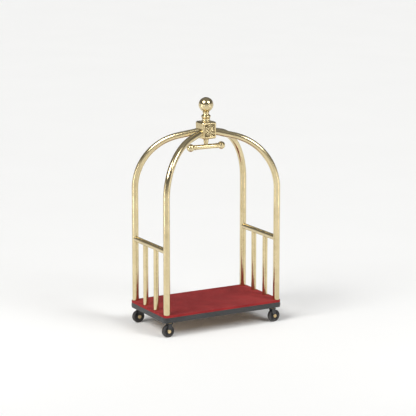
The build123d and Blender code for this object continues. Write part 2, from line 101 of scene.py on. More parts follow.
def pick(piece: Piece) -> None:
    """Make one piece the only selected and the active one.

    Args:
        piece: the piece to pick.
    """
    bpy.ops.object.select_all(action="DESELECT")
    piece.select_set(True)
    bpy.context.view_layer.objects.active = piece


def settle(piece: Piece) -> None:
    """Put a piece's place, turn and scale into its mesh."""
    pick(piece)
    bpy.ops.object.transform_apply(location=True, rotation=True, scale=True)


def primitive(
    shape: str, name: str, place: Matrix = Matrix.Identity(4), **sizes: object
) -> Piece:
    """Add a primitive at its place.

    Args:
        shape: what it is, such as cube or torus.
        name: the piece's name.
        place: its place, turn and scale.
        sizes: the operator's own sizes.

    Returns:
        The piece, with its place in its mesh.
    """
    bpy.ops.object.select_all(action="DESELECT")
    getattr(bpy.ops.mesh, f"primitive_{shape}_add")(**sizes)
    piece = bpy.context.view_layer.objects.active
    piece.name = name
    piece.matrix_world = place
    settle(piece)
    return piece


@contextmanager
def edit_mode(piece: Piece, everything: bool = True) -> Iterator[None]:
    """Open a piece in edit mode and close it again.

    Args:
        piece: the mesh object to edit.
        everything: whether all of its faces start selected.

    Returns:
        A context in which the piece is open.
    """
    pick(piece)
    bpy.ops.object.mode_set(mode="EDIT")
    if everything:
        bpy.ops.mesh.select_all(action="SELECT")
    yield
    bpy.ops.object.mode_set(mode="OBJECT")


def select_faces(piece: Piece, test: FaceTest) -> int:
    """Select the faces of a piece by their place and direction.

    Args:
        piece: the mesh object, in object mode.
        test: takes a face's centre and normal and says whether it is wanted.

    Returns:
        How many faces were selected.
    """
    with edit_mode(piece, everything=False):
        bpy.ops.mesh.select_mode(type="FACE")
        bpy.ops.mesh.select_all(action="DESELECT")
    count = 0
    for face in piece.data.polygons:
        face.select = test(face.center, face.normal)
        count += face.select
    return count


def apply_modifiers(piece: Piece) -> None:
    """Apply every modifier of a piece, first to last.

    Args:
        piece: the piece to finish.
    """
    pick(piece)
    for modifier in list(piece.modifiers):
        bpy.ops.object.modifier_apply(modifier=modifier.name)


def cut(piece: Piece, tool: Piece, operation: str, solver: str) -> None:
    """Cut a piece with a tool by an applied Boolean, and throw the tool away.

    Args:
        piece: the piece to cut.
        tool: the mesh that cuts it.
        operation: INTERSECT or DIFFERENCE.
        solver: the Boolean's solver.
    """
    modifier = piece.modifiers.new("Cut", "BOOLEAN")
    modifier.operation = operation
    modifier.solver = solver
    modifier.object = tool
    apply_modifiers(piece)
    bpy.data.objects.remove(tool)


def clean(piece: Piece, smooth_degrees: float = 35.0) -> None:
    """Merge doubled points, turn all faces outwards and smooth the gentle edges.

    Args:
        piece: the piece to clean.
        smooth_degrees: the sharpest edge that is shaded smooth.
    """
    with edit_mode(piece):
        bpy.ops.mesh.remove_doubles(threshold=MERGE_DISTANCE)
        bpy.ops.mesh.normals_make_consistent(inside=False)
    bpy.ops.object.shade_smooth_by_angle(angle=radians(smooth_degrees))


def bevel(piece: Piece, width: float, segments: int, angle: float = 40.0) -> None:
    """Round the sharp edges of a piece with an applied Bevel.

    Args:
        piece: the piece to soften.
        width: the bevel's width.
        segments: how many steps it has.
        angle: the least angle, in degrees, that counts as sharp.
    """
    modifier = piece.modifiers.new("Soft edges", "BEVEL")
    modifier.width = width
    modifier.segments = segments
    modifier.limit_method = "ANGLE"
    modifier.angle_limit = radians(angle)
    modifier.use_clamp_overlap = True
    apply_modifiers(piece)


def join(pieces: Sequence[Piece], name: str) -> Piece:
    """Join several meshes into one piece.

    Args:
        pieces: the meshes, of which the first takes the others in.
        name: the joined piece's name.

    Returns:
        The joined piece.
    """
    bpy.ops.object.select_all(action="DESELECT")
    for piece in pieces:
        piece.select_set(True)
    bpy.context.view_layer.objects.active = pieces[0]
    if len(pieces) > 1:
        bpy.ops.object.join()
    pieces[0].name = name
    return pieces[0]


def copy_of(piece: Piece, name: str, move: Matrix) -> Piece:
    """Copy a piece with its own mesh.

    Args:
        piece: the piece to copy.
        name: the copy's name.
        move: where the copy goes from the piece's place.

    Returns:
        The copy.
    """
    pick(piece)
    bpy.ops.object.duplicate(linked=False)
    twin = bpy.context.view_layer.objects.active
    twin.name = name
    twin.matrix_world = move
    settle(twin)
    return twin


def merged_copy(node: Piece, name: str) -> Piece:
    """Copy a CAD node's mesh into a new piece with its doubled points merged.

    Args:
        node: the node's object, which stays as it is.
        name: the new piece's name.

    Returns:
        The new piece, at the origin and riding on nothing yet.
    """
    twin = bpy.data.objects.new(name, node.data.copy())
    for key in [key for key in twin.keys() if key.startswith("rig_")]:
        del twin[key]
    bpy.context.scene.collection.objects.link(twin)
    twin.data.materials.clear()
    with edit_mode(twin):
        bpy.ops.mesh.remove_doubles(threshold=MERGE_DISTANCE)
        bpy.ops.mesh.tris_convert_to_quads()
    return twin


def arc_points(centre: Point, radius: float, start: float, end: float, steps: int) -> list[Point]:
    """Points of a circular arc in a turning profile.

    Args:
        centre: the arc's centre, as distance from the axis and height.
        radius: the arc's radius.
        start: where it starts, in degrees from straight out.
        end: where it ends, in degrees.
        steps: how many pieces it is divided into.

    Returns:
        The points from start to end, both included.
    """
    angles = [radians(start + (end - start) * n / steps) for n in range(steps + 1)]
    return [(centre[0] + radius * cos(a), centre[1] + radius * sin(a)) for a in angles]


def mirrored(right: Sequence[Point]) -> list[Point]:
    """Give the left half of a turned piece that is the same at both ends."""
    return [(radius, -height) for radius, height in reversed(right)]


def turn(
    name: str,
    profile: Sequence[Point],
    centre: Vector,
    turning: Turning = Turning.UP,
    segments: int = 96,
    smooth_degrees: float = 35.0,
) -> Piece:
    """Turn a piece on the lathe: a ring drawn up through each point of its profile.

    Args:
        name: the piece's name.
        profile: distance from the axis and height of each point, bottom to top. A
            profile that starts or ends on the axis is closed there, and one that
            comes back to its first point makes a hollow ring.
        centre: where the profile's zero lies.
        turning: which way the axis points when the piece is finished.
        segments: how many sides the ring has.
        smooth_degrees: the sharpest edge that is still shaded smooth.

    Returns:
        The finished piece, with its place in its mesh.
    """
    rings = [(max(radius, ON_AXIS), height) for radius, height in profile]
    radius, height = rings[0]
    foot = Matrix.Translation((0, 0, height))
    piece = primitive("circle", name, foot, vertices=segments, radius=radius)
    with edit_mode(piece):
        bpy.ops.mesh.select_mode(type="EDGE")
        bpy.ops.mesh.select_all(action="SELECT")
        for next_radius, next_height in rings[1:]:
            rise = (0, 0, next_height - height)
            bpy.ops.mesh.extrude_region_move(TRANSFORM_OT_translate={"value": rise})
            scale = next_radius / radius
            bpy.ops.transform.resize(value=(scale, scale, 1), center_override=(0, 0, next_height))
            radius, height = next_radius, next_height
    piece.matrix_world = Matrix.Translation(centre) @ TURNS[turning]
    settle(piece)
    clean(piece, smooth_degrees)
    return piece


# ---- Shader groups that several finishes share -----------------------------


@dataclass
class Wiring:
    """A node tree being wired, with short calls to add its nodes."""

    tree: Tree = field(init=False)

    def feed(self, socket: Socket, value: object) -> None:
        """Join a socket to an input, or give the input a plain value.

        Args:
            socket: the input.
            value: another node's output, or the value.
        """
        if isinstance(value, Socket):
            self.tree.links.new(value, socket)
        else:
            socket.default_value = value

    def node(self, kind: str, *wires: object, **settings: object) -> bpy.types.Node:
        """Add a node.

        Args:
            kind: the node's type, such as TexNoise.
            wires: sockets or values for its first inputs, in order.
            settings: the node's own settings, and sockets or values for its inputs by
                name, with underscores for spaces.

        Returns:
            The new node.
        """
        node = self.tree.nodes.new(f"ShaderNode{kind}")
        for key, value in settings.items():
            if hasattr(node, key):
                setattr(node, key, value)
            else:
                self.feed(node.inputs[key.replace("_", " ")], value)
        for socket, value in zip(node.inputs, wires):
            self.feed(socket, value)
        return node

    def clip(self, value: Socket, low: float, high: float) -> Socket:
        """Clip a value between low and high, and stretch it to 0..1."""
        return self.node("MapRange", value, From_Min=low, From_Max=high).outputs["Result"]

    def clouds(self, place: Socket, low: float, high: float, **settings: object) -> Socket:
        """Make a mask of noise, clipped between low and high."""
        noise = self.node("TexNoise", Vector=place, **settings)
        return self.clip(noise.outputs["Fac"], low, high)


@dataclass
class ShaderGroup(Wiring):
    """A node group being wired. A socket without a default value is a vector."""

    name: str
    takes: dict[str, float | None]
    entry: bpy.types.NodeOutputs = field(init=False)

    def __post_init__(self) -> None:
        """Make the group with its input sockets."""
        self.tree = bpy.data.node_groups.new(self.name, "ShaderNodeTree")
        for name, default in self.takes.items():
            kind = "NodeSocketVector" if default is None else "NodeSocketFloat"
            socket = self.tree.interface.new_socket(name=name, in_out="INPUT", socket_type=kind)
            if default is not None:
                socket.default_value = default
        self.entry = self.tree.nodes.new("NodeGroupInput").outputs

    def give(self, **results: Socket) -> Tree:
        """Make the output sockets and join the results to them.

        Args:
            results: each result by its socket's name, with underscores for spaces.

        Returns:
            The finished group.
        """
        exit_node = self.tree.nodes.new("NodeGroupOutput")
        for key, result in results.items():
            name = key.replace("_", " ")
            self.tree.interface.new_socket(name=name, in_out="OUTPUT", socket_type="NodeSocketFloat")
            self.feed(exit_node.inputs[name], result)
        return self.tree


def build_handling_group() -> Tree:
    """Build the smudges, fine wiping scratches and slow tarnish of polished metal.

    Returns:
        The group.
    """
    group = ShaderGroup(
        "Handling marks", {"Vector": None, "Smudge Scale": 9.0, "Scratch Scale": 60.0, "Stretch": None}
    )
    place = group.entry["Vector"]
    stretched = group.node("VectorMath", place, group.entry["Stretch"], operation="MULTIPLY")
    drawn_out = stretched.outputs["Vector"]
    smudge, scratch = group.entry["Smudge Scale"], group.entry["Scratch Scale"]
    return group.give(
        Smudge=group.clouds(
            place, 0.42, 0.78, Scale=smudge, Detail=5.0, Roughness=0.62, Distortion=0.6
        ),
        Scratch=group.clouds(drawn_out, 0.35, 0.7, Scale=scratch, Detail=3.0, Roughness=0.7),
        Tarnish=group.clouds(place, 0.46, 0.74, Scale=2.6, Detail=6.0, Roughness=0.55),
    )


def build_grain_group() -> Tree:
    """Build the moulded grain, scuffs and soft clouds of rubber, nylon, paint and board.

    Returns:
        The group.
    """
    group = ShaderGroup("Moulded grain", {"Vector": None, "Grain Scale": 900.0, "Scuff Scale": 30.0})
    place = group.entry["Vector"]
    grain_scale, scuff = group.entry["Grain Scale"], group.entry["Scuff Scale"]
    grain = group.node("TexNoise", Vector=place, Scale=grain_scale, Detail=2.0, Roughness=0.5)
    return group.give(
        Height=grain.outputs["Fac"],
        Scuff=group.clouds(place, 0.56, 0.76, Scale=scuff, Detail=7.0, Roughness=0.72, Distortion=1.4),
        Cloud=group.clouds(place, 0.3, 0.7, Scale=5.0, Detail=3.0),
    )


def build_dust_group() -> Tree:
    """Build the dust that settles below a height, its Floor Reach, in speckles.

    Returns:
        The group.
    """
    group = ShaderGroup("Settled dust", {"Vector": None, "Floor Reach": 0.12})
    place = group.entry["Vector"]
    height = group.node("SeparateXYZ", place).outputs["Z"]
    reach = group.entry["Floor Reach"]
    low_down = group.node("MapRange", height, From_Max=reach, To_Min=1.0, To_Max=0.0)
    speckles = group.clouds(place, 0.4, 0.75, Scale=160.0, Detail=4.0, Roughness=0.7)
    dust = group.node("Math", low_down.outputs["Result"], speckles, operation="MULTIPLY")
    return group.give(Dust=dust.outputs["Value"])


def build_pile_group() -> Tree:
    """Build the tufts of a cut-pile carpet, with the way the pile lies in places.

    Returns:
        The group.
    """
    group = ShaderGroup("Cut pile", {"Vector": None, "Tuft Scale": 330.0})
    place = group.entry["Vector"]
    wander = group.node("TexNoise", Vector=place, Scale=70.0, Detail=2.0)
    nudge = group.node(
        "VectorMath", wander.outputs["Color"], (0.004, 0.004, 0.004), place, operation="MULTIPLY_ADD"
    )
    tufts = group.node(
        "TexVoronoi",
        Vector=nudge.outputs["Vector"],
        Scale=group.entry["Tuft Scale"],
        feature="F1",
        Randomness=0.85,
    )
    crown = group.node("MapRange", tufts.outputs["Distance"], From_Max=0.75, To_Min=1.0, To_Max=0.0)
    fibre = group.node("TexNoise", Vector=place, Scale=1900.0, Detail=2.0, Roughness=0.7)
    height = group.node(
        "Math", fibre.outputs["Fac"], 0.35, crown.outputs["Result"], operation="MULTIPLY_ADD"
    )
    tone = group.node("SeparateColor", tufts.outputs["Color"])
    return group.give(
        Height=height.outputs["Value"],
        Tuft_Tone=tone.outputs["Red"],
        Lay=group.clouds(place, 0.38, 0.66, Scale=3.4, Detail=4.0, Roughness=0.6, Distortion=1.2),
    )


@dataclass(frozen=True)
class SharedEffects:
    """The node groups that the finishes place in their materials."""

    handling: Tree
    grain: Tree
    dust: Tree
    pile: Tree

    @classmethod
    def build(cls) -> "SharedEffects":
        """Build each group once."""
        return cls(build_handling_group(), build_grain_group(), build_dust_group(), build_pile_group())


# ---- Finishes --------------------------------------------------------------


@dataclass
class MaterialBench(Wiring):
    """A material being wired, with its shader ready and Object coordinates at hand."""

    name: str
    material: Material = field(init=False)
    shader: bpy.types.Node = field(init=False)
    place: Socket = field(init=False)

    def __post_init__(self) -> None:
        """Make the material with its Principled shader."""
        self.material = bpy.data.materials.new(self.name)
        self.material.use_nodes = True
        self.tree = self.material.node_tree
        self.shader = self.tree.nodes["Principled BSDF"]
        self.place = self.node("TexCoord").outputs["Object"]

    def group(self, tree: Tree, **values: object) -> bpy.types.NodeOutputs:
        """Place a shared group, fed with Object coordinates.

        Args:
            tree: the shared group.
            values: its other inputs by name, with underscores for spaces.

        Returns:
            The placed group's outputs.
        """
        node = self.tree.nodes.new("ShaderNodeGroup")
        node.node_tree = tree
        for key, value in {"Vector": self.place, **values}.items():
            self.feed(node.inputs[key.replace("_", " ")], value)
        return node.outputs

    def mix(self, mask: Socket, low: Colour | Socket, high: Colour) -> Socket:
        """Mix two colours by a mask.

        Args:
            mask: 0 shows low and 1 shows high.
            low: a colour or the output of another mix.
            high: the other colour.

        Returns:
            The mixed colour's socket.
        """
        node = self.node("Mix", data_type="RGBA")
        factor, first, second = (node.inputs[at] for at in MIX_INPUTS)
        self.feed(factor, mask)
        self.feed(first, low if isinstance(low, Socket) else (*low, 1))
        self.feed(second, (*high, 1))
        return node.outputs[MIX_OUTPUT]

    def blend(self, mask: Socket, low: float, high: float) -> Socket:
        """Turn a mask into a value that runs from low to high."""
        return self.node("MapRange", mask, To_Min=low, To_Max=high).outputs["Result"]

    def share(self, mask: Socket, share: float) -> Socket:
        """Weaken a mask to a share of itself."""
        return self.blend(mask, 0.0, share)

    def sum(self, first: Socket, second: Socket) -> Socket:
        """Add two masks, held to 0..1."""
        return self.node("Math", first, second, operation="ADD", use_clamp=True).outputs["Value"]

    def finish(
        self, colour: Socket, height: Socket, strength: float, distance: float, **surface: object
    ) -> Material:
        """Feed the shader and return the material.

        Args:
            colour: the base colour.
            height: the relief, raised through a Bump node.
            strength: the Bump node's strength.
            distance: how high the relief stands.
            surface: sockets or values of the shader's other inputs by name, with
                underscores for spaces.

        Returns:
            The finished material.
        """
        bump = self.node("Bump", Strength=strength, Distance=distance, Height=height)
        wired = {"Base_Color": colour, "Normal": bump.outputs["Normal"], **surface}
        for key, value in wired.items():
            self.feed(self.shader.inputs[key.replace("_", " ")], value)
        return self.material


@dataclass(frozen=True)
class Metal:
    """A bare, plated or lacquered metal.

    The stretch pulls the wiping scratches along one axis: a small number along an axis
    makes them long that way.
    """

    name: str
    bright: Colour
    deep: Colour
    tarnish: Colour
    gloss: float
    dull: float
    tarnish_share: float = 0.35
    smudge_scale: float = 9.0
    scratch_scale: float = 70.0
    stretch: tuple[float, float, float] = (1.0, 1.0, 0.06)
    scratch_depth: float = 0.00004
    lacquer: float = 0.0

    def material(self, effects: SharedEffects) -> Material:
        """Wire the metal.

        Args:
            effects: the shared shader groups.

        Returns:
            The material.
        """
        bench = MaterialBench(self.name)
        marks = bench.group(
            effects.handling,
            Smudge_Scale=self.smudge_scale,
            Scratch_Scale=self.scratch_scale,
            Stretch=self.stretch,
        )
        dust = bench.group(effects.dust)["Dust"]
        colour = bench.mix(bench.share(marks["Smudge"], 0.7), self.bright, self.deep)
        colour = bench.mix(bench.share(marks["Tarnish"], self.tarnish_share), colour, self.tarnish)
        marred = bench.sum(bench.share(marks["Smudge"], 0.6), bench.share(marks["Scratch"], 0.3))
        marred = bench.sum(marred, bench.share(dust, 0.6))
        coat = {"Coat_Weight": self.lacquer, "Coat_Roughness": 0.08} if self.lacquer else {}
        return bench.finish(
            colour,
            marks["Scratch"],
            0.25,
            self.scratch_depth,
            Metallic=1.0,
            Roughness=bench.blend(marred, self.gloss, self.dull),
            **coat,
        )


@dataclass(frozen=True)
class Moulded:
    """Rubber, nylon or powder-coated steel with a fine grain and scuffs."""

    name: str
    tone: Colour
    worn: Colour
    dusty: Colour
    roughness: float
    worn_roughness: float
    grain_scale: float = 900.0
    grain_depth: float = 0.0001
    scuff_scale: float = 30.0
    scuff_share: float = 0.5
    dust_share: float = 0.3
    dust_reach: float = 0.2

    def material(self, effects: SharedEffects) -> Material:
        """Wire the moulded surface.

        Args:
            effects: the shared shader groups.

        Returns:
            The material.
        """
        bench = MaterialBench(self.name)
        grain = bench.group(effects.grain, Grain_Scale=self.grain_scale, Scuff_Scale=self.scuff_scale)
        dust = bench.group(effects.dust, Floor_Reach=self.dust_reach)["Dust"]
        colour = bench.mix(bench.share(grain["Cloud"], 0.35), self.tone, self.worn)
        colour = bench.mix(bench.share(grain["Scuff"], self.scuff_share), colour, self.worn)
        colour = bench.mix(bench.share(dust, self.dust_share), colour, self.dusty)
        rough = bench.blend(grain["Scuff"], self.roughness, self.worn_roughness)
        return bench.finish(colour, grain["Height"], 0.5, self.grain_depth, Roughness=rough)


@dataclass(frozen=True)
class CarpetPile:
    """Crimson cut pile: tufts with painted shade down at their roots, and patches where the pile lies
    over.
    """

    name: str = "crimson_cut_pile"
    crown: Colour = (0.33, 0.022, 0.025)
    root_shade: Colour = (0.075, 0.004, 0.006)
    brushed: Colour = (0.42, 0.036, 0.036)
    tuft_scale: float = 330.0
    depth: float = 0.0022

    def material(self, effects: SharedEffects) -> Material:
        """Wire the pile.

        Args:
            effects: the shared shader groups.

        Returns:
            The material.
        """
        bench = MaterialBench(self.name)
        pile = bench.group(effects.pile, Tuft_Scale=self.tuft_scale)
        # Painted shade: the colour darkens from the tufts' crowns down to their roots, by the pile's
        # height.
        body = bench.mix(pile["Height"], self.root_shade, self.crown)
        body = bench.mix(bench.share(pile["Tuft Tone"], 0.3), body, self.brushed)
        return bench.finish(
            bench.mix(bench.share(pile["Lay"], 0.45), body, self.brushed),
            pile["Height"],
            0.8,
            self.depth,
            Roughness=0.95,
            Specular_IOR_Level=0.15,
            Sheen_Weight=0.12,
            Sheen_Roughness=0.45,
            Sheen_Tint=(0.95, 0.45, 0.42, 1),
        )


@dataclass(frozen=True)
class PlyBoard:
    """Sealed birch plywood: long face grain above and below, plies on the edge."""

    name: str = "sealed_plywood"
    pale: Colour = (0.56, 0.40, 0.24)
    dark: Colour = (0.36, 0.23, 0.12)
    figure_scale: float = 7.0
    figure_stretch: tuple[float, float, float] = (1.0, 14.0, 60.0)

    def material(self, effects: SharedEffects) -> Material:
        """Wire the board.

        Args:
            effects: the shared shader groups.

        Returns:
            The material.
        """
        bench = MaterialBench(self.name)
        stretch = bench.node("Mapping", Vector=bench.place, Scale=self.figure_stretch)
        figure = bench.clouds(
            stretch.outputs["Vector"],
            0.3,
            0.7,
            Scale=self.figure_scale,
            Detail=8.0,
            Roughness=0.6,
            Distortion=0.4,
        )
        grain = bench.group(effects.grain, Grain_Scale=500.0)
        colour = bench.mix(figure, self.pale, self.dark)
        rough = bench.blend(figure, 0.45, 0.62)
        return bench.finish(colour, grain["Height"], 0.3, 0.0002, Roughness=rough)


Finish = Metal | Moulded | CarpetPile | PlyBoard

BRIGHT_BRASS: Colour = (0.70, 0.588, 0.353)
DEEP_BRASS: Colour = (0.54, 0.434, 0.229)
TARNISHED_BRASS: Colour = (0.34, 0.254, 0.127)

TUBE_BRASS = Metal(
    "polished_tube_brass", BRIGHT_BRASS, DEEP_BRASS, TARNISHED_BRASS, 0.13, 0.34, lacquer=0.25,
)
RAIL_BRASS = Metal(
    "polished_rail_brass", BRIGHT_BRASS, DEEP_BRASS, TARNISHED_BRASS, 0.13, 0.36,
    stretch=(1.0, 0.06, 1.0), lacquer=0.25,
)
TURNED_BRASS = Metal(
    "turned_brass", BRIGHT_BRASS, DEEP_BRASS, TARNISHED_BRASS, 0.11, 0.30,
    stretch=(0.25, 0.25, 5.0), scratch_scale=120.0, lacquer=0.25,
)
CAST_BRASS = Metal(
    "plated_casting", (0.68, 0.56, 0.325), DEEP_BRASS, TARNISHED_BRASS, 0.2, 0.42,
    smudge_scale=24.0, scratch_scale=260.0, stretch=(1.0, 1.0, 1.0), scratch_depth=0.00012,
)
# Painted shade: a dark brass laid on the hub's recessed panels and on the field between the rosettes'
# petals.
RECESS_SHADE = Metal(
    "darkened_recess", (0.20, 0.155, 0.08), (0.12, 0.092, 0.048), (0.07, 0.055, 0.03), 0.34, 0.6,
    tarnish_share=0.7, smudge_scale=40.0, scratch_scale=300.0, stretch=(1.0, 1.0, 1.0),
    scratch_depth=0.0001,
)
CASTER_BRASS = Metal(
    "caster_brass", (0.72, 0.56, 0.30), (0.56, 0.41, 0.20), (0.33, 0.23, 0.12), 0.24, 0.52,
    tarnish_share=0.7, smudge_scale=34.0, scratch_scale=240.0, stretch=(1.0, 1.0, 0.4),
)
ZINC = Metal(
    "zinc_plate", (0.62, 0.63, 0.64), (0.50, 0.51, 0.52), (0.42, 0.40, 0.36), 0.28, 0.55,
    tarnish_share=0.5, smudge_scale=50.0, scratch_scale=300.0, stretch=(1.0, 1.0, 1.0),
)
BUMPER_RUBBER = Moulded(
    "bumper_rubber", (0.017, 0.018, 0.019), (0.05, 0.051, 0.053), (0.16, 0.15, 0.135), 0.34, 0.6,
    grain_scale=1300.0, grain_depth=0.00010, scuff_scale=22.0, scuff_share=0.5, dust_share=0.15,
)
TYRE_RUBBER = Moulded(
    "tyre_rubber", (0.021, 0.021, 0.023), (0.06, 0.06, 0.062), (0.22, 0.20, 0.175), 0.62, 0.85,
    grain_scale=1800.0, grain_depth=0.00016, scuff_scale=60.0, dust_share=0.6, dust_reach=0.1,
)
WHEEL_NYLON = Moulded(
    "wheel_nylon", (0.028, 0.028, 0.031), (0.07, 0.07, 0.074), (0.2, 0.185, 0.165), 0.36, 0.6,
    grain_scale=2200.0, grain_depth=0.00006, dust_share=0.5, dust_reach=0.1,
)
POWDER_COAT = Moulded(
    "black_powder_coat", (0.022, 0.022, 0.024), (0.055, 0.055, 0.058), (0.2, 0.18, 0.15), 0.46, 0.6,
    grain_scale=1500.0, grain_depth=0.00018, scuff_share=0.35, dust_share=0.2,
)
CARPET = CarpetPile()
BOARD = PlyBoard()


@dataclass
class Finishes:
    """Every material of the cart, made once."""

    effects: SharedEffects
    made: dict[str, Material] = field(default_factory=dict)

    def of(self, finish: Finish) -> Material:
        """Give a finish's material, made the first time that it is asked for.

        Args:
            finish: the finish.

        Returns:
            Its material.
        """
        if finish.name not in self.made:
            self.made[finish.name] = finish.material(self.effects)
        return self.made[finish.name]


def dress(piece: Piece, material: Material) -> None:
    """Give a piece one material all over.

    Args:
        piece: the piece to dress.
        material: its material.
    """
    piece.data.materials.clear()
    piece.data.materials.append(material)
    for face in piece.data.polygons:
        face.material_index = 0


def dress_some(piece: Piece, material: Material, test: FaceTest) -> None:
    """Give the faces of a piece that pass a test a second material.

    Args:
        piece: a piece that has its main material.
        material: the second one.
        test: takes a face's centre and normal and says whether it gets the second one.
    """
    piece.data.materials.append(material)
    for face in piece.data.polygons:
        if test(face.center, face.normal):
            face.material_index = len(piece.data.materials) - 1


# ---- Sub-assemblies --------------------------------------------------------


@dataclass(frozen=True)
class Extent:
    """The box of a CAD node at rest."""

    low: Vector
    high: Vector

    @classmethod
    def of(cls, node: str) -> "Extent":
        """Read a node's box."""
        return cls(*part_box(node))

    @property
    def centre(self) -> Vector:
        """Give the middle of the box."""
        return (self.low + self.high) / 2

    @property
    def size(self) -> Vector:
        """Give the length, width and height of the box."""
        return self.high - self.low


@dataclass
class Assembly:
    """What every sub-assembly shares: the frame, the finishes and the placing of pieces."""

    nodes: dict[str, Piece]
    finishes: Finishes

    def dress_nodes(self, names: Sequence[str], finish: Finish) -> None:
        """Dress CAD nodes whose shape stays as it is."""
        for name in names:
            dress(self.nodes[name], self.finishes.of(finish))

    def fit(
        self,
        piece: Piece,
        body: str,
        finish: Finish,
        slot: str,
        stands_for: Sequence[str] = (),
    ) -> None:
        """Dress a new piece and fix it to its body.

        Args:
            piece: the finished piece.
            body: the CAD body that it moves with.
            finish: its finish.
            slot: the name of a material slot; not used.
            stands_for: the CAD nodes that it is shown instead of.
        """
        dress(piece, self.finishes.of(finish))
        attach(piece, body)
        if stands_for:
            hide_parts(*stands_for)
        log.info("%s: %d faces, rides on %s", piece.name, len(piece.data.polygons), body)


@dataclass
class Deck(Assembly):
    """The carpeted deck: pile carpet, rubber bumper, board and the black underframe."""

    pile_cell: float = 0.0036
    cut_depth: float = 0.0002
    tuft_relief: float = 0.0014
    tuft_size: float = 0.005
    lie_relief: float = 0.0007
    lie_size: float = 0.07

    def build(self) -> None:
        """Make the carpet and dress the rest of the deck."""
        carpet = self.make_carpet()
        self.fit(carpet, "cart", CARPET, "carpet", ["deck_carpet"])
        self.dress_nodes(["edge_bumper"], BUMPER_RUBBER)
        self.dress_nodes(["deck_board"], BOARD)
        steel = ["corner_blocks", "underframe_side_rails", "underframe_cross_rails", "edge_band"]
        self.dress_nodes(steel, POWDER_COAT)
        self.dress_nodes(["deck_screws", "floor_bolts", "upright_plugs", "baluster_plugs"], ZINC)

    def make_carpet(self) -> Piece:
        """Cut the carpet out of a finely divided slab and raise its pile.

        Returns:
            The carpet, folded over the board's edge, with its holes for the tubes.
        """
        box = Extent.of("deck_carpet")
        cut_height = box.high.z - self.cut_depth
        carpet = self.make_slab(box.size, cut_height, box.low.z - self.pile_cell)
        cut(carpet, merged_copy(self.nodes["deck_carpet"], "carpet_cutter"), "INTERSECT", "MANIFOLD")
        lowest = cut_height - self.cut_depth
        top_faces = select_faces(carpet, lambda centre, normal: normal.z > FACING and centre.z > lowest)
        log.info("the carpet's top has %d faces", top_faces)
        with edit_mode(carpet, everything=False):
            bpy.ops.object.vertex_group_assign_new()
        for title, grain, relief in (
            ("Tufts", self.tuft_size, self.tuft_relief),
            ("Lie of the pile", self.lie_size, self.lie_relief),
        ):
            self.raise_pile(carpet, title, grain, relief)
        clean(carpet, 50.0)
        return carpet

    def make_slab(self, size: Vector, top: float, bottom: float) -> Piece:
        """Make a block a little larger than the deck, its top finely divided.

        Args:
            size: the carpet's outer size.
            top: the height of the block's top.
            bottom: the height of its underside.

        Returns:
            The closed block.
        """
        length = size.x + 2 * self.pile_cell
        width = size.y + 2 * self.pile_cell
        slab = primitive(
            "grid",
            "carpet_pile",
            Matrix.Translation((0, 0, top)) @ Matrix.Diagonal((length, width, 1, 1)),
            x_subdivisions=round(length / self.pile_cell),
            y_subdivisions=round(width / self.pile_cell),
            size=1,
        )
        with edit_mode(slab):
            bpy.ops.mesh.region_to_loop()
            bpy.ops.mesh.extrude_region_move(TRANSFORM_OT_translate={"value": (0, 0, bottom - top)})
            bpy.ops.mesh.edge_face_add()
            bpy.ops.mesh.select_all(action="SELECT")
            bpy.ops.mesh.normals_make_consistent(inside=False)
        return slab

    def raise_pile(self, carpet: Piece, title: str, grain: float, relief: float) -> None:
        """Raise and lower the carpet's top by a soft cloud.

        Args:
            carpet: the carpet, whose top is its only vertex group.
            title: the name of the step.
            grain: the size of the cloud's lumps.
            relief: the height between its lowest and highest points.
        """
        cloud = bpy.data.textures.new(title, "CLOUDS")
        cloud.noise_scale = grain
        cloud.noise_depth = 1
        lift = carpet.modifiers.new(title, "DISPLACE")
        lift.texture = cloud
        lift.texture_coords = "LOCAL"
        lift.direction = "Z"
        lift.strength = relief
        lift.mid_level = 0.5
        lift.vertex_group = carpet.vertex_groups[0].name
        apply_modifiers(carpet)


@dataclass
class Cage(Assembly):
    """The bent uprights, the end rails and the balusters, all of bright tube."""

    bead_radius: float = 0.0022

    def build(self) -> None:
        """Dress the tubes and lay a brazed bead where each baluster meets its rail."""
        for corner in CORNERS:
            self.dress_nodes([f"upright_{corner}"], TUBE_BRASS)
        for end in ENDS:
            self.dress_nodes([f"end_rail_{end}"], RAIL_BRASS)
            self.dress_nodes([f"baluster_{end}_front", f"baluster_{end}_rear"], TUBE_BRASS)
            self.fit(self.make_beads(end), "cart", CAST_BRASS, "brass_tube")

    def make_beads(self, end: str) -> Piece:
        """Lay the beads of one end, each along the line where baluster and rail meet.

        Args:
            end: left or right.

        Returns:
            One piece with both beads of that end.
        """
        rail = Extent.of(f"end_rail_{end}")
        beads = []
        for place in ("front", "rear"):
            baluster = Extent.of(f"baluster_{end}_{place}")
            axis = baluster.centre
            bead = primitive(
                "torus",
                "bead",
                Matrix.Translation((axis.x, axis.y, 0)),
                major_radius=baluster.size.x / 2,
                minor_radius=self.bead_radius,
                major_segments=64,
                minor_segments=10,
            )
            for point in bead.data.vertices:
                across = point.co.x - axis.x
                point.co.z += rail.centre.z - sqrt(max((rail.size.z / 2) ** 2 - across**2, 0.0))
            beads.append(bead)
        joined = join(beads, f"joint_beads_{end}")
        clean(joined, 60.0)
        return joined


